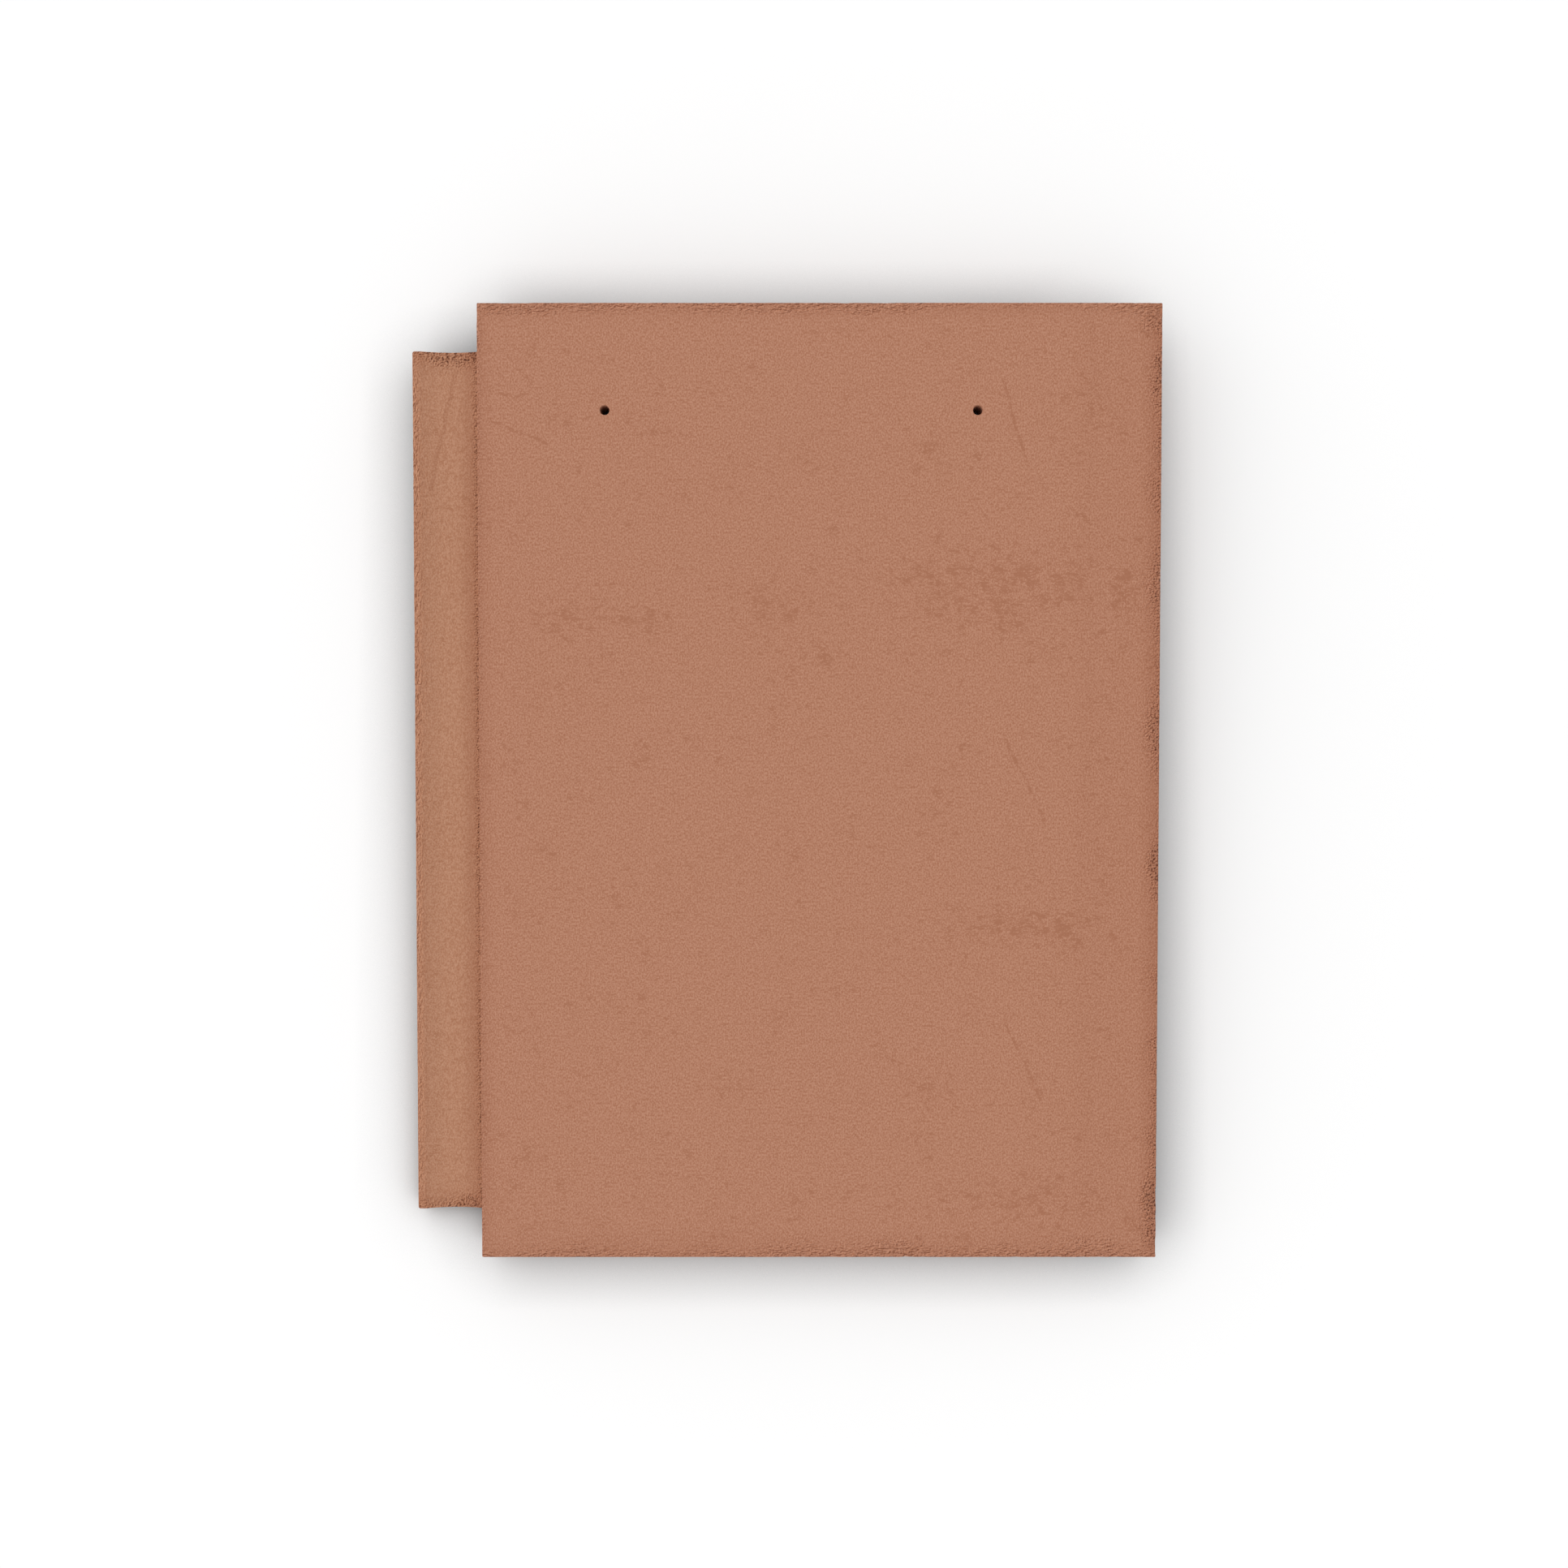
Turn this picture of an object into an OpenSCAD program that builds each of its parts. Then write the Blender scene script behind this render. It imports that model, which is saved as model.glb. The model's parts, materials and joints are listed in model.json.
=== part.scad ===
// Flat interlocking roof tile, pressed in concrete as one piece.
//
// The tile is drawn in its own frame and then laid down on a level floor:
//   X runs across the tile, from the low side lap (left) to the cover flap (right)
//   Y runs up the roof slope, from the tail to the head
//   Z is 0 at the underside and points to the weather face
// Lying loose, it rests on the tail's lower edge and on the two hanging nibs.

/* [Slab] */
// Length from tail to head
tile_len = 420; // [330:1:460]
// Width of the weather face
slab_w = 299; // [240:1:380]
// Thickness over the edges and ribs
slab_t = 23; // [20:0.5:30]

/* [Side lap] */
// Width of the low lap that the next tile covers
lap_w = 31; // [25:0.5:45]
// Height of the lap's outer lip over the underside
lip_h = 10.5; // [8:0.5:12]
// Width of the flat top of the lip
lip_w = 3.2; // [2:0.2:6]
// Depth of the round trough beside the lip
trough_depth = 2.5; // [1:0.1:4]
// Distance that the lap stops short of the head and of the tail
lap_setback = 18; // [5:1:40]
// Corner radius of the lap, seen from above
lap_corner_r = 1; // [0.5:0.1:4]

/* [Cover flap] */
// Open joint left between two laid weather faces
joint_gap = 1; // [0.5:0.1:4]
// Clearance over the neighbour's lap, also to its outer edge
lap_clear = 1; // [0.5:0.1:2]
// Radius of the two drip grooves under the flap
drip_r = 2; // [1:0.1:3]
// Distance between the two drip grooves
drip_spacing = 13; // [8:0.5:18]
// Lean of the wall that stops the neighbour's lap, in degrees
wall_draft = 8; // [2:1:15]

/* [Underside] */
// Depth of the two hollowed pans
pan_depth = 8.5; // [4:0.5:10]
// Slope of the pan walls from upright, in degrees
pan_draft = 35; // [10:1:45]
// Corner radius at a pan's rim
pan_corner_r = 14; // [11:1:30]
// Width of the rib between the pans
mid_rib_w = 26; // [12:1:60]
// Width of solid slab beside each pan, within the laps
side_land_w = 16; // [10:1:40]
// Length of solid slab at the head, which carries the nibs
head_land = 36; // [34:1:44]
// Width of each foot rib across the tail
foot_rib_w = 12; // [8:1:20]
// Number of weather grooves between the foot ribs
foot_grooves = 3; // [1:1:5]
// Radius of a weather groove
foot_groove_r = 4.5; // [2:0.5:7]

/* [Nibs] */
// How far a nib stands under the slab
nib_h = 12.5; // [8:0.5:18]
// Width of a nib where it meets the slab
nib_w = 42; // [25:1:60]
// Distance between the two nibs' middles
nib_spacing = 190; // [120:2:200]
// Distance from the head to the faces that hook on the batten
nib_setback = 30; // [26:1:32]
// Length of a nib's flat foot
nib_foot_len = 8; // [4:1:12]
// Rounding of a nib's foot
nib_round = 2.5; // [1:0.5:4]
// Lean of a nib's hooking face, in degrees
nib_face_draft = 5; // [1:1:15]
// Lean of a nib's slope towards the head, in degrees
nib_back_draft = 38; // [15:1:40]
// Lean of a nib's two ends, in degrees
nib_end_draft = 25; // [5:1:35]

/* [Nail holes] */
// Diameter of a nail hole
nail_d = 4; // [3:0.1:8]
// Distance from the head to the nail holes
nail_setback = 46.5; // [45:0.5:60]
// Distance between the nail holes
nail_spacing = 163; // [140:1:180]
// Shift of the pair of holes off the tile's middle, towards the flap
nail_shift = 3.2; // [-5:0.1:8]

/* [Hidden] */
$fn = 96;
eps = 0.5;

tile_w = lap_w + slab_w;
left = -tile_w / 2;
right = tile_w / 2;
slab_left = left + lap_w;
tail = -tile_len / 2;
head = tile_len / 2;

// The trough is a circle through the lip's inner edge and the foot of the slab's wall.
trough_w = lap_w - lip_w;
trough_r = trough_w * trough_w / (8 * trough_depth) + trough_depth / 2;
trough_x = left + lip_w + trough_w / 2;
trough_z = lip_h - trough_depth + trough_r;

// One laid tile is this much further across the roof than the last.
cover_w = slab_w + joint_gap;
flap_under = lip_h + lap_clear;
flap_stop = left + cover_w - lap_clear;
bead_x = trough_x + cover_w;
bead_r = trough_r - lap_clear;

// Pans and foot ribs fill the slab between the lap's wall and the flap's stop.
field_left = slab_left + side_land_w;
field_right = flap_stop - side_land_w;
field_mid = (field_left + field_right) / 2;
field_w = field_right - field_left;
foot_pitch = foot_rib_w + 2 * foot_groove_r;
pan_tail = tail + foot_rib_w + foot_grooves * foot_pitch;
pan_head = head - head_land;
pan_w = (field_w - mid_rib_w) / 2;
pan_len = pan_head - pan_tail;
pan_shift = (pan_w + mid_rib_w) / 2;

nib_face_y = head - nib_setback;
nib_toe_y = nib_face_y + nib_h * tan(nib_face_draft);
nail_y = head - nail_setback;

// At rest the floor runs from the tail's lower edge to the round of the nibs' toes.
toe_mid_y = nib_toe_y + nib_round * tan(45 - nib_face_draft / 2);
toe_from_tail = [toe_mid_y - tail, nib_h - nib_round];
rest_tilt = asin(nib_round / norm(toe_from_tail)) + atan(toe_from_tail[1] / toe_from_tail[0]);

function unit(v) = v / norm(v);

// Points on the arc that rounds corner b of the path a, b, c.
function rounded_corner(a, b, c, r, steps = 6) =
    let (
        u = unit(a - b),
        w = unit(c - b),
        half = acos(u * w) / 2,
        middle = b + unit(u + w) * r / sin(half),
        from = b + u * r / tan(half) - middle,
        to = b + w * r / tan(half) - middle,
        swing = 180 - 2 * half
    )
    [for (i = [0 : steps])
        middle + (sin(swing * (1 - i / steps)) * from + sin(swing * i / steps) * to) / sin(swing)];

// Extrudes a drawing of the XZ plane along Y, and one of the YZ plane along X.
module along_y(from, to)
    translate([0, to, 0]) rotate([90, 0, 0]) linear_extrude(to - from) children();

module along_x(from, to)
    translate([from, 0, 0]) rotate([90, 0, 90]) linear_extrude(to - from) children();

// The drafted space under the flap, with the neighbour's lap and its clearance in it.
module flap_rebate_section()
    difference() {
        polygon([
            [flap_stop - flap_under * tan(wall_draft), 0],
            [flap_stop - (flap_under + eps) * tan(wall_draft), -eps],
            [right + eps, -eps],
            [right + eps, flap_under],
            [flap_stop, flap_under]
        ]);
        // the bead that hangs in the neighbour's trough
        translate([bead_x, trough_z]) circle(r = bead_r, $fn = 240);
    }

// Section across the tile: lap with its trough, slab, and flap with its bead and grooves.
module cross_section()
    difference() {
        union() {
            translate([slab_left, 0]) square([slab_w, slab_t]);
            translate([left, 0]) square([lap_w + eps, lip_h]);
        }
        intersection() {
            translate([trough_x, trough_z]) circle(r = trough_r, $fn = 240);
            translate([left, 0]) square([lap_w, slab_t + trough_r]);
        }
        flap_rebate_section();
        for (side = [-1, 1]) {
            drip_z = trough_z - sqrt(bead_r * bead_r - drip_spacing * drip_spacing / 4);
            translate([bead_x + side * drip_spacing / 2, drip_z]) circle(r = drip_r);
        }
    }

// Outline from above: the slab, and the shorter lap with its rounded corners.
module outline() {
    lap_len = tile_len - 2 * lap_setback;
    translate([slab_left, tail]) square([slab_w, tile_len]);
    translate([left + lap_corner_r, -lap_len / 2]) square([lap_w, lap_len]);
    translate([left, lap_corner_r - lap_len / 2])
        square([lap_corner_r + eps, lap_len - 2 * lap_corner_r]);
    for (end = [-1, 1])
        translate([left + lap_corner_r, end * (lap_len / 2 - lap_corner_r)])
            circle(r = lap_corner_r);
}

// One hollow in the underside, with sloping walls and round corners.
module pan() {
    core_w = pan_w - 2 * pan_corner_r;
    core_len = pan_len - 2 * pan_corner_r;
    rim_r = pan_corner_r + eps * tan(pan_draft);
    floor_r = pan_corner_r - pan_depth * tan(pan_draft);
    for (x = [-1, 1], y = [-1, 1])
        translate([x * core_w / 2, y * core_len / 2, -eps])
            cylinder(h = pan_depth + eps, r1 = rim_r, r2 = floor_r);
    along_x(-core_w / 2, core_w / 2) pan_section(core_len);
    along_y(-core_len / 2, core_len / 2) pan_section(core_w);
}

// Trapezium of a pan's walls, for a flat part of the given width.
module pan_section(core) {
    rim = core / 2 + pan_corner_r;
    draw_in = tan(pan_draft);
    polygon([
        [-rim - eps * draw_in, -eps],
        [rim + eps * draw_in, -eps],
        [rim - pan_depth * draw_in, pan_depth],
        [-rim + pan_depth * draw_in, pan_depth]
    ]);
}

// A half-round groove across the tail, closed by a quarter ball at each end.
module foot_groove() {
    reach = field_w / 2 - foot_groove_r;
    translate([-reach, 0, 0]) rotate([0, 90, 0]) cylinder(h = 2 * reach, r = foot_groove_r);
    for (end = [-1, 1])
        translate([end * reach, 0, 0]) sphere(r = foot_groove_r);
}

// Everything that the mould hollows out of the underside.
module underside_hollows() {
    for (side = [-1, 1])
        translate([field_mid + side * pan_shift, (pan_head + pan_tail) / 2, 0]) pan();
    for (i = [1 : foot_grooves])
        translate([field_mid, tail + i * foot_pitch - foot_groove_r, 0]) foot_groove();
}

// A hanging nib: steep on the side that hooks on the batten, sloped on the other three.
module nib() {
    foot_end = nib_toe_y + nib_foot_len;
    root_end = foot_end + nib_h * tan(nib_back_draft);
    face_top = [nib_face_y - eps * tan(nib_face_draft), eps];
    back_top = [root_end + eps * tan(nib_back_draft), eps];
    toe = [nib_toe_y, -nib_h];
    heel = [foot_end, -nib_h];
    foot_w = nib_w - 2 * nib_h * tan(nib_end_draft);
    end_l = [-nib_w / 2 - eps * tan(nib_end_draft), eps];
    end_r = [nib_w / 2 + eps * tan(nib_end_draft), eps];
    corner_l = [-foot_w / 2, -nib_h];
    corner_r = [foot_w / 2, -nib_h];
    intersection() {
        along_x(-nib_w, nib_w)
            polygon(concat(
                [face_top],
                rounded_corner(face_top, toe, heel, nib_round),
                rounded_corner(toe, heel, back_top, nib_round),
                [back_top]
            ));
        along_y(0, head)
            polygon(concat(
                [end_l],
                rounded_corner(end_l, corner_l, corner_r, nib_round),
                rounded_corner(corner_l, corner_r, end_r, nib_round),
                [end_r]
            ));
    }
}

module nail_holes()
    for (side = [-1, 1])
        translate([nail_shift + side * nail_spacing / 2, nail_y, -eps])
            cylinder(h = slab_t + 2 * eps, d = nail_d);

// The whole tile in its own frame.
module tile_body()
    difference() {
        union() {
            intersection() {
                along_y(tail, head) cross_section();
                linear_extrude(slab_t) outline();
            }
            for (side = [-1, 1])
                translate([side * nib_spacing / 2, 0, 0]) nib();
        }
        underside_hollows();
        nail_holes();
    }

// The tile as it lies on the floor, centred over the origin.
module roof_tile()
    color([0.70, 0.49, 0.39])
        translate([0, slab_t * sin(rest_tilt) / 2, tile_len / 2 * sin(rest_tilt)])
            rotate([rest_tilt, 0, 0])
                tile_body();

roof_tile();
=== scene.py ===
import bpy
import json
import math
import numpy as np
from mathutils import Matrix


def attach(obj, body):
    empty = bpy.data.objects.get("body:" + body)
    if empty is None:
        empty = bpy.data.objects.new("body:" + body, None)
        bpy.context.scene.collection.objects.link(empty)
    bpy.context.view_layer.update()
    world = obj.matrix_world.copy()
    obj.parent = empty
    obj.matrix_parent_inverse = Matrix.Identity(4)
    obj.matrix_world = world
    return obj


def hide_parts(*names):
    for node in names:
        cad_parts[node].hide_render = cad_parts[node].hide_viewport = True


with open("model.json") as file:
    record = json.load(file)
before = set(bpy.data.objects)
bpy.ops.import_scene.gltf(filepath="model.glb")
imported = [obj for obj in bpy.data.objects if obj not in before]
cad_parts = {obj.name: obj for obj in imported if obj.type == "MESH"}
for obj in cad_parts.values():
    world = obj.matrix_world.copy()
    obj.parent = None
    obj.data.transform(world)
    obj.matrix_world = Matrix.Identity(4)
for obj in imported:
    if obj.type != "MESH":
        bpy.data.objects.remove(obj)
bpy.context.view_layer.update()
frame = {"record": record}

# Camera, straight over the middle of the tile, as the photograph was taken.
# Its height and lens follow from how the tile's sides draw together in the picture.
lens = bpy.data.cameras.new("camera")
lens.sensor_width = 36.0
lens.lens = 36.662
camera = bpy.data.objects.new("camera", lens)
camera.location = (0.00003, -0.00016, 0.731925)
bpy.context.scene.collection.objects.link(camera)
bpy.context.scene.camera = camera

# Slab of the tile: a flat plate of pressed concrete, 299 x 420 x 23 mm.
# The press leaves a smooth weather face, while the edges crumble a little
# as the wet tile is cut off and struck from its pallet.
tile_length = 420.0
tile_width = 330.0
slab_left = -134.0
slab_right = tile_width / 2
slab_top = 23.0
arris_push = 0.03
arris_sink = 0.05
nick_push = 0.09
nick_sink = 0.40
crumb_sink = 0.34
rim_sink = 0.16
wall_pits = 0.16
foot_pits = 0.12
wall_swell = 0.10


def cloud(points, size, seed):
    """Soft random field from 0 to 1. Every corner of a cubic lattice of that size gets a
    random level, and a point blends the eight around it by the smooth step 3 t^2 - 2 t^3."""
    draw = np.random.default_rng(seed)
    order = draw.permutation(256)
    level = draw.random(256)
    place = points / size + 512.0
    cell = np.floor(place).astype(int)
    part = place - cell
    part = part * part * (3 - 2 * part)
    total = 0.0
    for corner in np.ndindex(2, 2, 2):
        key = (cell + corner) & 255
        key = order[(order[(order[key[..., 0]] + key[..., 1]) & 255] + key[..., 2]) & 255]
        total = total + level[key] * np.prod(np.where(corner, part, 1 - part), axis=-1)
    return total


def smooth(value, low, high):
    """Smooth step: 0 up to low, 1 from high on, and 3 t^2 - 2 t^3 between them."""
    t = np.clip((value - low) / (high - low), 0, 1)
    return t * t * (3 - 2 * t)


def rounded_ring(middle, half_x, half_y, corner, steps_x, steps_y):
    """Rounded rectangle, anticlockwise seen from above. Quarter circles of five points join
    sides in even steps. Returns the points and their outward directions, in the plane."""
    signs = np.array([(1, 1), (-1, 1), (-1, -1), (1, -1)])
    centres = np.array(middle) + signs * (half_x - corner, half_y - corner)
    points = []
    outward = []
    for side in range(4):
        turn = np.radians(np.linspace(90 * side, 90 * side + 90, 5))
        way = np.stack([np.cos(turn), np.sin(turn)], axis=-1)
        arc = centres[side] + corner * way
        steps = (steps_x, steps_y)[side % 2]
        share = np.arange(1, steps)[:, None] / steps
        run = arc[-1] + share * (centres[(side + 1) % 4] + corner * way[-1] - arc[-1])
        points += [arc, run]
        outward += [way, np.tile(way[-1], (steps - 1, 1))]
    return np.concatenate(points), np.concatenate(outward)


def loft(rings):
    """Closed skin over rings, given as (ring, point, xyz) from the top's inner ring outwards
    and down to the underside's inner ring: quads between neighbours, a flat face in each end."""
    count, around, _ = rings.shape
    index = np.arange(count * around).reshape(count, around)
    quads = np.stack([index[:-1], index[1:], np.roll(index[1:], -1, 1), np.roll(index[:-1], -1, 1)], -1)
    faces = [index[0].tolist(), index[-1, ::-1].tolist()] + quads.reshape(-1, 4).tolist()
    return rings.reshape(-1, 3), faces


def body(name, skins):
    """One object from several closed skins, each a pair of its points and faces."""
    points = np.concatenate([skin[0] for skin in skins])
    faces = []
    first = 0
    for skin_points, skin_faces in skins:
        faces += [[first + corner for corner in face] for face in skin_faces]
        first += len(skin_points)
    mesh = bpy.data.meshes.new(name)
    mesh.from_pydata(points.tolist(), [], faces)
    made = bpy.data.objects.new(name, mesh)
    bpy.context.scene.collection.objects.link(made)
    return made


def pressed_block(middle, half_x, half_y, corner, step, height, seed):
    """Rings of a block whose top lies at the given height function of x. Rows on the top go
    from inside out to the arris, then down the wall. The arris is worn back by a push inwards
    and a sink that both fade with distance from it, the wall and the rim of the top are
    pitted by cloud, and nothing ever moves outwards. The last rows, given as a share of the
    wall's lowest row and an inset, close the foot and turn in under the block."""
    top_insets = np.array([12.0, 9.6, 7.8, 6.4, 5.2, 4.2, 3.3, 2.6, 2.0, 1.5, 1.05, 0.7, 0.4, 0.18, 0.05])
    wall_depths = np.array([0.0, 0.18, 0.45, 0.9, 1.6, 2.6, 4.0, 6.0, 8.5])
    steps_x = int(round(2 * half_x / step))
    steps_y = int(round(2 * half_y / step))
    rings = []
    insets = np.concatenate([top_insets, np.zeros(len(wall_depths))])
    drops = np.concatenate([0 * top_insets, wall_depths])
    round_arris = slice(len(top_insets) - 2, len(top_insets) + 1)
    drops[round_arris] = 0.02, 0.08, 0.12
    for inset, drop in zip(insets, drops):
        flat, outward = rounded_ring(middle, half_x - inset, half_y - inset, corner, steps_x, steps_y)
        top = height(flat[:, 0])
        rings.append(np.column_stack([flat, top - drop]))
    rings = np.array(rings)
    inset = insets[:, None]
    drop = drops[:, None]
    patch = crumb_patches(rings)
    nick = smooth(cloud(rings, 4.5, seed) + 0.35 * cloud(rings, 1.7, seed + 1), 0.62, 1.15)
    fine = cloud(rings, 1.5, seed + 2)
    near = np.exp(-inset / 1.1) * np.exp(-drop / 1.3)
    push = near * (arris_push + nick_push * patch * nick)
    rough_wall = wall_pits * cloud(rings, 2.3, seed + 3) ** 2 + wall_swell * cloud(rings, 8.0, seed + 4)
    push = push + (1 - np.exp(-drop / 0.8)) * rough_wall
    sink = near * (arris_sink + nick_sink * patch * nick)
    rim = (1 - smooth(inset, 2.0, 9.0)) * np.exp(-drop / 0.6)
    crumbs = crumb_sink * smooth(fine, 0.45, 0.95) + rim_sink * cloud(rings, 3.1, seed + 5)
    sink = sink + rim * patch * crumbs
    rings[..., :2] -= outward * push[..., None]
    rings[..., 2] -= sink
    under = []
    under_rows = ((0.45, 0.0), (0.12, 0.0), (0.03, 0.05), (0.0, 0.35), (0.0, 2.0))
    for share, inward in under_rows:
        ring = rings[-1].copy()
        ring[:, 2] *= share
        rough = foot_pits * cloud(ring, 2.3, seed + 6) ** 2 + wall_swell * cloud(ring, 8.0, seed + 4)
        flat, outward = rounded_ring(middle, half_x - inward, half_y - inward, corner, steps_x, steps_y)
        ring[:, :2] = flat - outward * rough[:, None]
        under.append(ring)
    return np.concatenate([rings, np.array(under)])


def crumb_patches(points):
    """How strongly the surface crumbles, from 0 to 1: a cloud that varies along the edges,
    raised by a bell e^(-d^2) round each place where the photograph shows the most crumbs.
    A place is given as its x, its y and its reach in x and in y."""
    x, y = points[..., 0], points[..., 1]
    flattened = points * (1, 1, 0.2)
    uneven = smooth(cloud(flattened, 17.0, 40) + 0.5 * cloud(flattened, 6.0, 41), 0.45, 1.15)
    along_head = ((-95, 210, 55, 9), (28, 210, 40, 8), (160, 208, 14, 10))
    along_tail = ((75, -210, 100, 8), (-100, -210, 18, 8), (145, -208, 35, 12))
    along_flap = ((165, 178, 8, 9), (165, 126, 9, 9), (165, 86, 10, 22), (165, 19, 8, 12),
                  (165, -38, 7, 12), (165, -156, 9, 7), (165, -182, 9, 24), (165, -204, 18, 13))
    along_lap = ((-143, 192, 12, 9), (-143, -192, 10, 7), (-165, 60, 5, 120))
    local = 0.0
    for across, along, reach_x, reach_y in along_head + along_tail + along_flap + along_lap:
        away = ((x - across) / reach_x) ** 2 + ((y - along) / reach_y) ** 2
        local = np.maximum(local, np.exp(-away))
    return np.clip(uneven * (0.25 + 0.75 * local) + 0.42 * local, 0, 1)


def slab_height(x):
    """The weather face is flat."""
    return np.full_like(x, slab_top)


slab_middle = ((slab_left + slab_right) / 2, 0.0)
slab_rings = pressed_block(
    slab_middle, (slab_right - slab_left) / 2, tile_length / 2,
    corner=0.5, step=0.72, height=slab_height, seed=7)
slab = body("slab", [loft(slab_rings)])

# Side lap: the low rebated strip along the left side that the next tile covers.
# It has a flat lip and a shallow round trough beside it, and stops 18 mm short of both ends.
lap_left = -tile_width / 2
lip_height = 10.5
lip_width = 3.2
trough_depth = 2.5
trough_width = slab_left - lap_left - lip_width
trough_radius = trough_width ** 2 / (8 * trough_depth) + trough_depth / 2
trough_x = lap_left + lip_width + trough_width / 2
trough_z = lip_height - trough_depth + trough_radius
lap_root = 4.0
lap_setback = 18.0


def lap_height(x):
    """The lip is flat, and the trough is a circle through the lip's edge and the wall's foot."""
    across = np.clip(x, lap_left, slab_left) - trough_x
    round_floor = trough_z - np.sqrt(trough_radius ** 2 - across ** 2)
    return np.minimum(lip_height, round_floor)


lap_middle = ((lap_left + slab_left + lap_root) / 2, 0.0)
lap_rings = pressed_block(
    lap_middle, (slab_left + lap_root - lap_left) / 2, tile_length / 2 - lap_setback,
    corner=1.0, step=0.8, height=lap_height, seed=21)

# Hanging nibs: two drafted lugs under the head that hook over the roof batten.
# They are pressed with the tile, steep on the batten's side and sloped on the others.
nib_x = 95.0
nib_height = 12.5
nib_width = 42.0
nib_face = 180.0
nib_foot = 8.0
nib_round = 2.5
nib_corner = 0.8
face_draft, back_draft, end_draft = np.tan(np.radians([5.0, 38.0, 25.0]))


def nib_rings(middle_x):
    """Rings of a nib from its root, sunk 1 mm in the slab, to its foot. At each depth the
    drafts give a rectangle, and towards the toe its sides follow a circle of the rounding."""
    toe = nib_height - nib_round * (1 - np.sin(np.radians([0, 20, 38, 54, 68, 80, 90])))
    depths = np.concatenate([(-1.0, 0.0, 1.5, 3.5, 6.0, 8.5), toe])
    rings = []
    for depth in depths:
        into = np.clip((depth - nib_height + nib_round) / nib_round, 0, 1)
        turn_in = nib_round * (1 - math.sqrt(1 - into * into))
        face = nib_face + depth * face_draft + turn_in
        back_root = nib_face + nib_height * (face_draft + back_draft) + nib_foot
        back = back_root - depth * back_draft - 0.5 * turn_in
        half = nib_width / 2 - depth * end_draft - 0.7 * turn_in
        flat, _ = rounded_ring((middle_x, (face + back) / 2), half, (back - face) / 2, nib_corner, 16, 6)
        rings.append(np.column_stack([flat, np.full(len(flat), -depth)]))
    return np.array(rings)


added = body("added", [loft(lap_rings), loft(nib_rings(-nib_x)), loft(nib_rings(nib_x))])

# Underside hollows: the mould leaves two drafted pans, three half-round weather grooves
# across the tail, and the space under the cover flap with its bead and two drip grooves.
clearance = 1.0
cover_width = slab_right - slab_left + clearance
flap_under = lip_height + clearance
flap_stop = lap_left + cover_width - clearance
bead_x = trough_x + cover_width
bead_radius = trough_radius - clearance
stop_draft = 8.0
drip_offset = 6.5
drip_radius = 2.0
groove_radius = 4.5
groove_half = 118.0
groove_places = (-193.5, -172.5, -151.5)
pan_depth = 8.5
pan_corner = 14.0
pan_draft = 35.0
pan_middle_y = 19.5
pan_half_y = 154.5
pan_near = 13.0
pan_far = 118.0


def pan_rings(left, right):
    """Rings of a pan from its floor down through the rim. Its walls lean 35 degrees, a fillet
    joins them to the floor, and the corner shrinks with the depth as a cone's radius does."""
    lean = math.tan(math.radians(pan_draft))
    rows = [(pan_depth, 12.0), (pan_depth, 7.6)]
    rows += [(pan_depth - 0.15, 6.75), (pan_depth - 0.55, 6.0), (pan_depth - 1.2, 5.35)]
    rows += [(z, z * lean) for z in (6.0, 4.4, 2.8, 1.4, 0.6)]
    rows += [(0.25, 0.05), (0.0, -0.25), (-1.0, -0.25)]
    rings = []
    for z, inset in rows:
        corner = max(pan_corner - inset, 1.5)
        middle = ((left + right) / 2, pan_middle_y)
        flat, _ = rounded_ring(middle, (right - left) / 2 - inset, pan_half_y - inset, corner, 46, 140)
        ring = np.column_stack([flat, np.full(len(flat), z)])
        ring[:, 2] += 0.12 * cloud(ring, 6.0, 61) * (z > 0)
        rings.append(ring)
    return np.array(rings)


def groove_rings(middle_y):
    """Rings of a half-round groove with rounded ends: inset r (1 - cos) at height r sin."""
    rings = []
    for angle in np.radians((78, 64, 50, 36, 22, 9, 2)):
        inset = groove_radius * (1 - math.cos(angle))
        half = groove_radius - inset
        flat, _ = rounded_ring((0.0, middle_y), groove_half - inset, half, half * 0.98, 30, 2)
        rings.append(np.column_stack([flat, np.full(len(flat), groove_radius * math.sin(angle))]))
    last = rings[-1].copy()
    last[:, 2] = -1.0
    return np.array(rings + [last])


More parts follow.
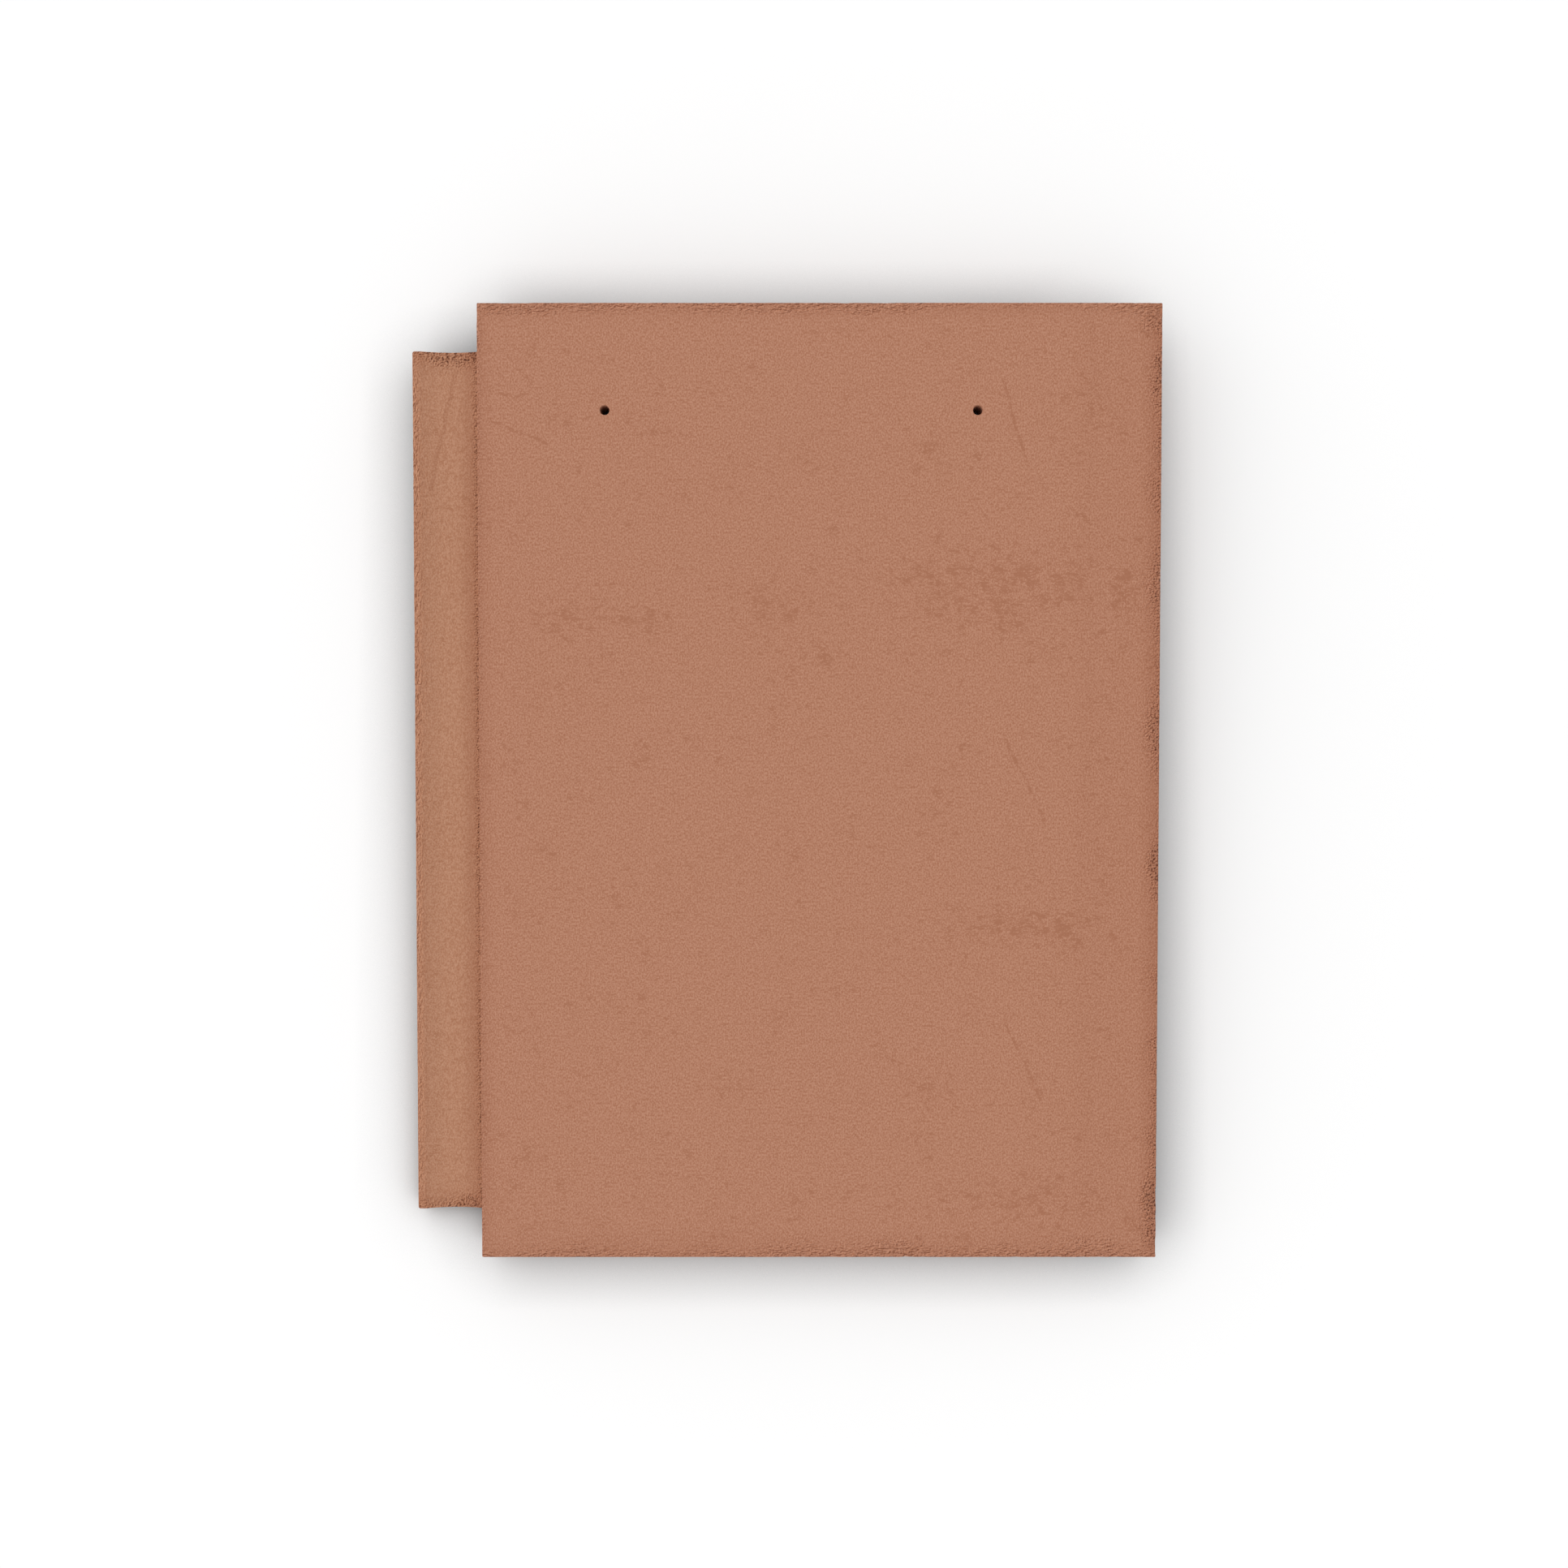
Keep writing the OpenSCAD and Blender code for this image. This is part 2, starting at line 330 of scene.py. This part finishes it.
def flap_rebate_rings():
    """Section under the flap, carried along the tile from head to tail: a leaning stop wall,
    a flat, then the bead's arc with two drip grooves cut as circles centred on it."""
    wall_lean = math.tan(math.radians(stop_draft))
    arc_x = np.arange(bead_x - 13.7, slab_right + 3.0, 0.4)
    arc_z = trough_z - np.sqrt(bead_radius ** 2 - (arc_x - bead_x) ** 2)
    for offset in (-drip_offset, drip_offset):
        centre_z = trough_z - math.sqrt(bead_radius ** 2 - offset ** 2)
        inside = drip_radius ** 2 - (arc_x - bead_x - offset) ** 2
        arc_z = np.where(inside > 0, np.maximum(arc_z, centre_z + np.sqrt(np.maximum(inside, 0))), arc_z)
    stop_wall = [
        (slab_right + 3.0, -3.0),
        (flap_stop - (flap_under + 3.0) * wall_lean, -3.0),
        (flap_stop - flap_under * wall_lean, 0.0),
        (flap_stop - 0.5 * flap_under * wall_lean, 0.5 * flap_under),
        (flap_stop, flap_under)]
    section = np.concatenate([stop_wall, np.column_stack([arc_x, np.minimum(arc_z, flap_under)])])
    stations = np.linspace(tile_length / 2 + 2, -tile_length / 2 - 2, 131)
    rings = np.empty((len(stations), len(section), 3))
    rings[..., 0] = section[:, 0]
    rings[..., 1] = stations[:, None]
    rings[..., 2] = section[:, 1]
    rings[..., 2] += 0.14 * cloud(rings, 5.0, 71) * (rings[..., 2] > 1.0)
    return rings


pans = [loft(pan_rings(-pan_far, -pan_near)), loft(pan_rings(pan_near, pan_far))]
grooves = [loft(groove_rings(place)) for place in groove_places]
hollows = body("hollows", pans + grooves + [loft(flap_rebate_rings())])

# Nail holes: two 4 mm holes by the head, pierced by pins as the tile is pressed.
# The pins leave a slightly broken rim on the weather face.
mounts = {mount["name"]: mount for mount in frame["record"]["mounts"]}
hole_radius = 2.0
hole_y = 163.5
hole_rows = (
    (24.0, 0.45), (23.0, 0.22), (22.7, 0.06), (22.2, 0.0),
    (19.0, 0.0), (15.0, 0.0), (11.0, 0.0), (6.0, 0.0))


def nail_hole_rings(middle_x):
    """Rings of a nail hole from above the weather face down: a tube of 4 mm whose mouth
    opens by a broken rim of cloud. A row is its height and how much wider the hole is there."""
    turn = np.linspace(0, 2 * math.pi, 48, endpoint=False)
    rings = []
    for z, wider in hole_rows:
        ring = np.column_stack([np.cos(turn), np.sin(turn), np.full_like(turn, z)])
        rim = wider * (0.4 + 1.2 * cloud(ring * (1, 1, 0), 0.6, 81))
        rim = rim + 0.05 * cloud(ring * (2, 2, 1), 1.1, 82)
        ring[:, :2] *= (hole_radius + rim)[:, None]
        ring[:, 0] += middle_x
        ring[:, 1] += hole_y
        rings.append(ring)
    return np.array(rings)


hole_places = [mounts[name]["pos_m"][0] * 1000 for name in ("nail_hole_left", "nail_hole_right")]
holes = body("holes", [loft(nail_hole_rings(place)) for place in hole_places])

# The finished casting: one closed piece of concrete, cast and pressed in one go.
# It lies loose on the floor, on the edge of its tail and on the toes of its two nibs.
for other, operation in ((added, "UNION"), (hollows, "DIFFERENCE"), (holes, "DIFFERENCE")):
    cut = slab.modifiers.new(other.name, "BOOLEAN")
    cut.object = other
    cut.operation = operation
    cut.solver = "MANIFOLD"
bpy.context.view_layer.update()
whole = bpy.data.meshes.new_from_object(slab.evaluated_get(bpy.context.evaluated_depsgraph_get()))
tile = bpy.data.objects.new("concrete_tile", whole)
bpy.context.scene.collection.objects.link(tile)
for part in (slab, added, hollows, holes):
    bpy.data.objects.remove(part)

spots = np.empty(len(whole.vertices) * 3, np.float32)
whole.vertices.foreach_get("co", spots)
spots = spots.reshape(-1, 3).astype(float)
tilt = math.asin(-mounts["nail_hole_left"]["axis"][1])
lie = np.array([(1, 0, 0), (0, math.cos(tilt), -math.sin(tilt)), (0, math.sin(tilt), math.cos(tilt))])
shift = np.array([0, slab_top * math.sin(tilt) / 2, tile_length / 2 * math.sin(tilt)])
laid = (spots @ lie.T + shift) / 1000
whole.vertices.foreach_set("co", laid.astype(np.float32).ravel())

# how strongly each point crumbles, for the material's relief and the painted shade and highlight on its
# crumbs: most along the ends, the flap and the lap
x, y, z = spots.T
end_y = tile_length / 2
lap_end_y = end_y - lap_setback
uneven = crumb_patches(spots)


def fade(distance, reach):
    """1 at the edge, easing to 0 at the reach."""
    return 1 - smooth(distance, 0.0, reach)


from_end = end_y - np.abs(y)
tail_half = y < 0
end_reach = np.where(y > 0, 9.0, 15.0)
at_ends = fade(from_end, 4.0) * (0.25 + 0.3 * uneven + 0.25 * uneven * tail_half)
at_ends = at_ends + fade(from_end, end_reach) * uneven * 1.1
at_flap = fade(slab_right - x, 5.0) * (0.16 + 0.45 * uneven)
at_flap = at_flap + fade(slab_right - x, 15.0) * uneven * 1.15
at_left = fade(x - slab_left, 3.0) * (0.20 + 0.5 * uneven)
on_slab = np.maximum.reduce([at_ends, at_flap, at_left])
at_lip = fade(x - lap_left, 5.5) * (0.34 + 0.45 * uneven)
# the lap's foot under the slab's wall crumbles most, which also gives that corner the most painted shade
# in the material
at_foot = fade(slab_left - x, 6.5) * (0.9 + 0.6 * uneven)
from_lap_end = lap_end_y - np.abs(y)
at_lap_ends = fade(from_lap_end, 7.0) * (0.45 + 0.55 * smooth(x, -160, -150) * (y > 0))
at_lap_ends = at_lap_ends + fade(from_lap_end, 14.0) * uneven
on_lap = np.maximum.reduce([at_lip, at_foot, at_lap_ends, 0.22 * uneven])
crumb = np.where(x < slab_left - 0.05, on_lap, on_slab)
wall = (np.abs(y) > end_y - 0.5) | (x > slab_right - 0.5) | (x < lap_left + 0.4)
wall = wall | ((x < slab_left + 0.4) & (z > lip_height))
crumb = np.where(wall & (z < slab_top - 0.6), 0.24 + 0.24 * uneven, crumb)
underside = (z < 7.0) | ((z < 9.0) & (x > slab_left))
crumb = np.where(underside, 0.25 * (~wall) + crumb * wall, crumb)
crumb = np.clip(crumb, 0, 1)
whole.attributes.new("crumb", "FLOAT", "POINT").data.foreach_set("value", crumb.astype(np.float32))
whole.polygons.foreach_set("use_smooth", np.ones(len(whole.polygons), bool))
whole.set_sharp_from_angle(angle=math.radians(40))
whole.update()

# Concrete: coloured through with iron oxide. The fine sand shows as grain all over, damp and
# cement haze leave darker, browner flecks in loose drifts, and the crumbled rims are darker.
# painted light on top of that colour: a painted shade and a painted highlight on the crumbs' ripples,
# painted shade in the pits and under the lap's wall
light_sand = (0.420, 0.2105, 0.1375)
dark_sand = (0.296, 0.1180, 0.0640)
fleck_brown = (0.308, 0.1290, 0.0730)
broad_tint = (0.997, 0.995, 0.993)
lap_tint = (1.096, 1.184, 1.150)
lap_foot_painted_shade_tint = (0.81, 0.715, 0.67)
lap_lip_tint = (0.93, 0.88, 0.86)
lap_end_tint = (0.92, 0.87, 0.85)
rim_tint = (0.86, 0.79, 0.75)
painted_shade_side_tint = (0.56, 0.43, 0.36)
painted_lit_side_tint = (1.17, 1.17, 1.15)
pit_painted_shade_tint = (0.50, 0.40, 0.35)
concrete = bpy.data.materials.new("concrete")
concrete.use_nodes = True
nodes = concrete.node_tree.nodes
links = concrete.node_tree.links
shader = nodes["Principled BSDF"]


def join(target, value):
    """Links a socket to an output, or sets it to a plain value."""
    if isinstance(value, bpy.types.NodeSocket):
        links.new(value, target)
    else:
        target.default_value = value


def figure(operation, *values, clamp=False):
    """Math node over the values, which are numbers or other nodes' outputs."""
    made = nodes.new("ShaderNodeMath")
    made.operation = operation
    made.use_clamp = clamp
    for target, value in zip(made.inputs, values):
        join(target, value)
    return made.outputs[0]


def ramp(value, low, high, to_low=0.0, to_high=1.0):
    """Smooth step of the value from low to high, onto to_low to to_high."""
    made = nodes.new("ShaderNodeMapRange")
    made.interpolation_type = "SMOOTHSTEP"
    for target, given in zip(made.inputs, (value, low, high, to_low, to_high)):
        join(target, given)
    return made.outputs[0]


def noise(size, detail=2.0, distortion=0.0, stretch=(1, 1, 1), shift=(0, 0, 0)):
    """Noise on the tile's own millimetres, its lumps about as large as the size.
    Stretch gives the shares of that pitch in each direction, and shift moves the pattern."""
    made = nodes.new("ShaderNodeTexNoise")
    made.inputs["Scale"].default_value = 1.0 / size
    made.inputs["Detail"].default_value = detail
    made.inputs["Distortion"].default_value = distortion
    pulled = nodes.new("ShaderNodeVectorMath")
    pulled.operation = "MULTIPLY_ADD"
    pulled.inputs[1].default_value = stretch
    pulled.inputs[2].default_value = tuple(np.multiply(stretch, shift))
    links.new(millimetres, pulled.inputs[0])
    links.new(pulled.outputs[0], made.inputs["Vector"])
    return made.outputs["Fac"]


def blend(kind, amount, first, second):
    """Mix of two colours, given as outputs or as plain red, green and blue."""
    made = nodes.new("ShaderNodeMix")
    made.data_type = "RGBA"
    made.blend_type = kind
    join(made.inputs["Factor"], amount)
    for target, colour in zip((made.inputs[6], made.inputs[7]), (first, second)):
        join(target, colour if isinstance(colour, bpy.types.NodeSocket) else (*colour, 1.0))
    return made.outputs[2]


def stretched(middle_x, middle_y, reach_x, reach_y):
    """Distance on the weather face from a middle, in shares of the reach in each direction."""
    moved = nodes.new("ShaderNodeVectorMath")
    moved.operation = "MULTIPLY_ADD"
    moved.inputs[1].default_value = (1 / reach_x, 1 / reach_y, 0.0)
    moved.inputs[2].default_value = (-middle_x / reach_x, -middle_y / reach_y, 0.0)
    links.new(millimetres, moved.inputs[0])
    length = nodes.new("ShaderNodeVectorMath")
    length.operation = "LENGTH"
    links.new(moved.outputs[0], length.inputs[0])
    return length.outputs["Value"]


def stroke(start_x, start_y, end_x, end_y, half_width):
    """Soft straight line on the weather face, bent a little by noise: 1 in its middle."""
    run_x, run_y = end_x - start_x, end_y - start_y
    run = math.hypot(run_x, run_y)
    places = []
    for along in ((run_x / run, run_y / run), (-run_y / run, run_x / run)):
        dot = nodes.new("ShaderNodeVectorMath")
        dot.operation = "DOT_PRODUCT"
        dot.inputs[1].default_value = (*along, 0.0)
        links.new(millimetres, dot.inputs[0])
        middle = along[0] * (start_x + end_x) / 2 + along[1] * (start_y + end_y) / 2
        places.append(figure("SUBTRACT", dot.outputs["Value"], middle))
    lengthwise = ramp(figure("ABSOLUTE", places[0]), run / 2 - 2, run / 2 + 2, 1.0, 0.0)
    across = figure("ABSOLUTE", figure("ADD", places[1], wander))
    return figure("MULTIPLY", lengthwise, ramp(across, half_width * 0.5, half_width, 1.0, 0.0))


own = nodes.new("ShaderNodeTexCoord")
in_tile = nodes.new("ShaderNodeMapping")
in_tile.inputs["Scale"].default_value = (1000.0, 1000.0, 1000.0)
in_tile.inputs["Rotation"].default_value = (-tilt, 0.0, 0.0)
in_tile.inputs["Location"].default_value = tuple(-(lie.T @ shift))
links.new(own.outputs["Object"], in_tile.inputs["Vector"])
millimetres = in_tile.outputs["Vector"]
axes = nodes.new("ShaderNodeSeparateXYZ")
links.new(millimetres, axes.inputs[0])
tile_x, tile_y = axes.outputs[:2]

crumbled = nodes.new("ShaderNodeAttribute")
crumbled.attribute_name = "crumb"
crumbled = crumbled.outputs["Fac"]

grain = noise(0.62, 1.0, 0.0, stretch=(1.0, 0.70, 1.0))
lap_side = ramp(tile_x, slab_left - 0.3, slab_left + 0.1, 1.0, 0.0)
sand = figure("SUBTRACT", ramp(grain, 0.20, 0.80), 0.5)
sand = figure("MULTIPLY_ADD", sand, figure("MULTIPLY_ADD", lap_side, -0.22, 1.0), 0.5)
colour = blend("MIX", sand, dark_sand, light_sand)

# flecks: how thickly they lie comes from broad noise, the drifts, strokes and rings
wander = figure("MULTIPLY_ADD", noise(9.0, 1.0), 2.4, -1.2)
scatter = figure("MULTIPLY", ramp(noise(16.0, 2.0), 0.45, 0.68), 0.5)
drifts = (
    (88, 86, 66, 30, 0.9), (64, 92, 30, 12, 1.0), (106, 94, 12, 8, 1.35), (96, 70, 14, 6, 1.25),
    (149, 83, 8, 17, 1.2), (124, 88, 14, 18, 1.1), (150, 84, 14, 26, 0.6), (106, -62, 52, 14, 0.95),
    (124, -66, 12, 14, 1.2), (106, -184, 60, 17, 0.85), (104, -186, 10, 5, 1.2), (-96, 73, 30, 13, 0.85),
    (-64, 72, 24, 12, 0.85), (-7, 79, 26, 18, 0.85), (18, 57, 13, 12, 0.8), (-62, 12, 10, 11, 0.8),
    (-62, -111, 10, 11, 0.8), (64, 142, 15, 17, 0.7), (64, -12, 15, 18, 0.7), (64, -135, 15, 17, 0.7),
    (140, -20, 12, 150, 0.45))
for *place, most in drifts:
    scatter = figure("MAXIMUM", scatter, ramp(stretched(*place), 0.1, 1.25, most, 0.0))
strokes = ((95, 179, 107, 138), (97, 21, 115, -17), (97, -103, 114, -141), (-129, 159, -103, 149))
for line in strokes:
    scatter = figure("MAXIMUM", scatter, figure("MULTIPLY", stroke(*line, 0.9), 1.25))
ring_x = -118
ring_radius = 6.5
for ring_y in (175, 21, -103):
    from_ring = figure("SUBTRACT", stretched(ring_x, ring_y, ring_radius, ring_radius), 1.0)
    ring = figure("ABSOLUTE", from_ring)
    scatter = figure("MAXIMUM", scatter, ramp(ring, 0.05, 0.22, 0.85, 0.0))
worms = noise(0.9, 2.0, 1.4, stretch=(0.50, 1.15, 1.0))
fleck = figure("MULTIPLY_ADD", noise(3.8, 2.0, 0.8, stretch=(0.75, 1.15, 1.0)), 0.8, worms)
fleck = ramp(figure("MULTIPLY_ADD", scatter, 0.215, fleck), 1.115, 1.165)
colour = blend("MIX", fleck, colour, fleck_brown)
broad = ramp(noise(55.0, 2.0), 0.35, 0.65)
colour = blend("MULTIPLY", broad, colour, broad_tint)

# lap is yellower, darker by its lip, with a painted shade under the wall, and one long scratch
colour = blend("MULTIPLY", lap_side, colour, lap_tint)
# painted shade in the corner at the foot of the slab's wall
lap_foot_painted_shade = figure("MULTIPLY", ramp(tile_x, slab_left - 13.0, slab_left), lap_side)
colour = blend("MULTIPLY", lap_foot_painted_shade, colour, lap_foot_painted_shade_tint)
lap_lip = ramp(tile_x, lap_left, lap_left + 7.0, 1.0, 0.0)
colour = blend("MULTIPLY", lap_lip, colour, lap_lip_tint)
to_lap_end = figure("SUBTRACT", lap_end_y, figure("ABSOLUTE", tile_y))
lap_ends = figure("MULTIPLY", ramp(to_lap_end, 0.0, 12.0, 1.0, 0.0), lap_side)
colour = blend("MULTIPLY", lap_ends, colour, lap_end_tint)
scratch = stroke(-146.0, 184.0, -158.0, 130.0, 1.3)
colour = blend("MULTIPLY", figure("MULTIPLY", scratch, 0.6), colour, rim_tint)

# rims of the slab are darker, and a faint band runs along the flap
slab_side = figure("SUBTRACT", 1.0, lap_side)
to_side = figure("SUBTRACT", slab_right, tile_x)
to_left = figure("SUBTRACT", tile_x, slab_left)
to_head = figure("SUBTRACT", end_y, tile_y)
to_tail = figure("ADD", tile_y, end_y)
to_end = figure("MINIMUM", to_head, to_tail)
at_side = figure("ADD", ramp(to_side, 0.0, 10.0, 0.74, 0.0), ramp(to_side, 8.0, 52.0, 0.20, 0.0))
band_x = 132.5
band = ramp(figure("ABSOLUTE", figure("SUBTRACT", tile_x, band_x)), 1.0, 7.5, 0.12, 0.0)
at_tail = figure("ADD", ramp(to_tail, 0.0, 20.0, 0.32, 0.0), ramp(to_tail, 0.0, 8.0, 0.12, 0.0))
at_head = ramp(to_head, 0.0, 9.0, 0.42, 0.0)
at_left = ramp(to_left, 0.0, 9.0, 0.46, 0.0)
rim = figure("MAXIMUM", figure("MAXIMUM", at_tail, at_head), at_left)
rim = figure("MAXIMUM", figure("ADD", at_side, band), rim)
rim = figure("MULTIPLY", rim, slab_side)
colour = blend("MULTIPLY", rim, colour, rim_tint)

# crumbs: ripples along the ends and the lip with a painted shade on the side towards the tail and the
# flap and a painted highlight on the side towards the light, and pits by the flap and under the wall of
# the lap in painted shade
along_ends = ramp(to_end, 3.0, 10.0, 1.0, 0.0)
outer_lap = ramp(tile_x, slab_left - 14.0, slab_left - 8.0, 1.0, 0.0)
along_lip = figure("MULTIPLY", ramp(to_lap_end, 5.0, 10.0), outer_lap)


def ripples(shift):
    """Height of the torn surface: long waves by the ends and the lip, lumps elsewhere."""
    lumps = noise(0.85, 1.0, 0.4, shift=shift)
    across = noise(0.95, 1.0, 0.8, stretch=(0.42, 1.0, 1.0), shift=shift)
    along = noise(0.95, 1.0, 0.8, stretch=(1.0, 0.42, 1.0), shift=shift)
    return blend("MIX", along_lip, blend("MIX", along_ends, lumps, across), along)


ridges = ripples((0.0, 0.0, 0.0))
away_from_light = (0.28, -0.28, 0.0)
slope = figure("SUBTRACT", ridges, ripples(away_from_light))
torn = figure("MULTIPLY", crumbled, 2.0, clamp=True)
# painted shade on each ripple's side away from the light, and a painted highlight on its side towards it
painted_shade_side = figure("MULTIPLY", ramp(slope, 0.02, 0.15), torn)
painted_lit_side = figure("MULTIPLY", ramp(slope, -0.15, -0.02, 1.0, 0.0), torn)
colour = blend("MULTIPLY", painted_shade_side, colour, painted_shade_side_tint)
colour = blend("MULTIPLY", painted_lit_side, colour, painted_lit_side_tint)
pit_pitch = 1.4
pits = nodes.new("ShaderNodeTexVoronoi")
pits.inputs["Scale"].default_value = 1.0 / pit_pitch
links.new(millimetres, pits.inputs["Vector"])
pit_edge = figure("MULTIPLY_ADD", crumbled, 0.30, 0.08)
pit = ramp(pits.outputs["Distance"], figure("MULTIPLY", pit_edge, 0.7), pit_edge, 1.0, 0.0)
rippled = figure("MAXIMUM", along_ends, along_lip)
pit = figure("MULTIPLY", pit, figure("MULTIPLY_ADD", rippled, -0.85, 1.0))
pit = figure("MULTIPLY", pit, torn)
# the pits are darkened with a painted shade
colour = blend("MULTIPLY", pit, colour, pit_painted_shade_tint)
links.new(colour, shader.inputs["Base Color"])
shader.inputs["Roughness"].default_value = 0.92
shader.inputs["Specular IOR Level"].default_value = 0.25

# relief in millimetres
swell = figure("MULTIPLY", figure("MULTIPLY", ridges, 0.7), crumbled)
relief = figure("MULTIPLY_ADD", grain, 0.08, swell)
relief = figure("MULTIPLY_ADD", pit, -0.18, relief)
bump = nodes.new("ShaderNodeBump")
bump.inputs["Strength"].default_value = 1.0
bump.inputs["Distance"].default_value = 0.001
links.new(relief, bump.inputs["Height"])
links.new(bump.outputs["Normal"], shader.inputs["Normal"])
whole.materials.clear()
whole.materials.append(concrete)
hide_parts("roof_tile")
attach(tile, "root")

# Floor: a plain white sheet of card, much wider than the picture. Its colour carries a painted
# shadow: where the tile keeps the light off it, it darkens towards a cool tone, which evens out the
# tile's warm glow.
floor_mesh = bpy.data.meshes.new("floor")
floor_mesh.from_pydata([(-4, -4, 0), (4, -4, 0), (4, 4, 0), (-4, 4, 0)], [], [(0, 1, 2, 3)])
floor = bpy.data.objects.new("floor", floor_mesh)
bpy.context.scene.collection.objects.link(floor)
shade_reach = 0.033
shaded_paper = (0.010, 0.048, 0.066, 1)
open_paper = (0.812, 0.812, 0.812, 1)
white = bpy.data.materials.new("white_floor")
white.use_nodes = True
paper = white.node_tree.nodes["Principled BSDF"]
paper.inputs["Roughness"].default_value = 1.0
paper.inputs["Specular IOR Level"].default_value = 0.0
shade = white.node_tree.nodes.new("ShaderNodeAmbientOcclusion")
shade.samples = 6
shade.inputs["Distance"].default_value = shade_reach
tone = white.node_tree.nodes.new("ShaderNodeMix")
tone.data_type = "RGBA"
tone.inputs[6].default_value = shaded_paper
tone.inputs[7].default_value = open_paper
white.node_tree.links.new(shade.outputs["AO"], tone.inputs["Factor"])
white.node_tree.links.new(tone.outputs[2], paper.inputs["Base Color"])
floor_mesh.materials.append(white)

# Light: a white dome, as in a light tent, a little brighter from the tile's head and lap,
# so that the crumbs show their relief and the shade round the tile stays soft.
brighter_side = (-0.36, 0.11, 0.0)
dome_strength = 1.25
world = bpy.data.worlds.new("light_tent")
world.use_nodes = True
sky = world.node_tree.nodes
bright = sky.new("ShaderNodeVectorMath")
bright.operation = "DOT_PRODUCT"
bright.inputs[1].default_value = brighter_side
level = sky.new("ShaderNodeMath")
level.operation = "MULTIPLY_ADD"
level.inputs[1].default_value = dome_strength
level.inputs[2].default_value = dome_strength
direction = sky.new("ShaderNodeTexCoord")
world.node_tree.links.new(direction.outputs["Generated"], bright.inputs[0])
world.node_tree.links.new(bright.outputs["Value"], level.inputs[0])
world.node_tree.links.new(level.outputs[0], sky["Background"].inputs["Strength"])
sky["Background"].inputs["Color"].default_value = (1, 1, 1, 1)
bpy.context.scene.world = world
bpy.context.scene.view_settings.view_transform = "Standard"
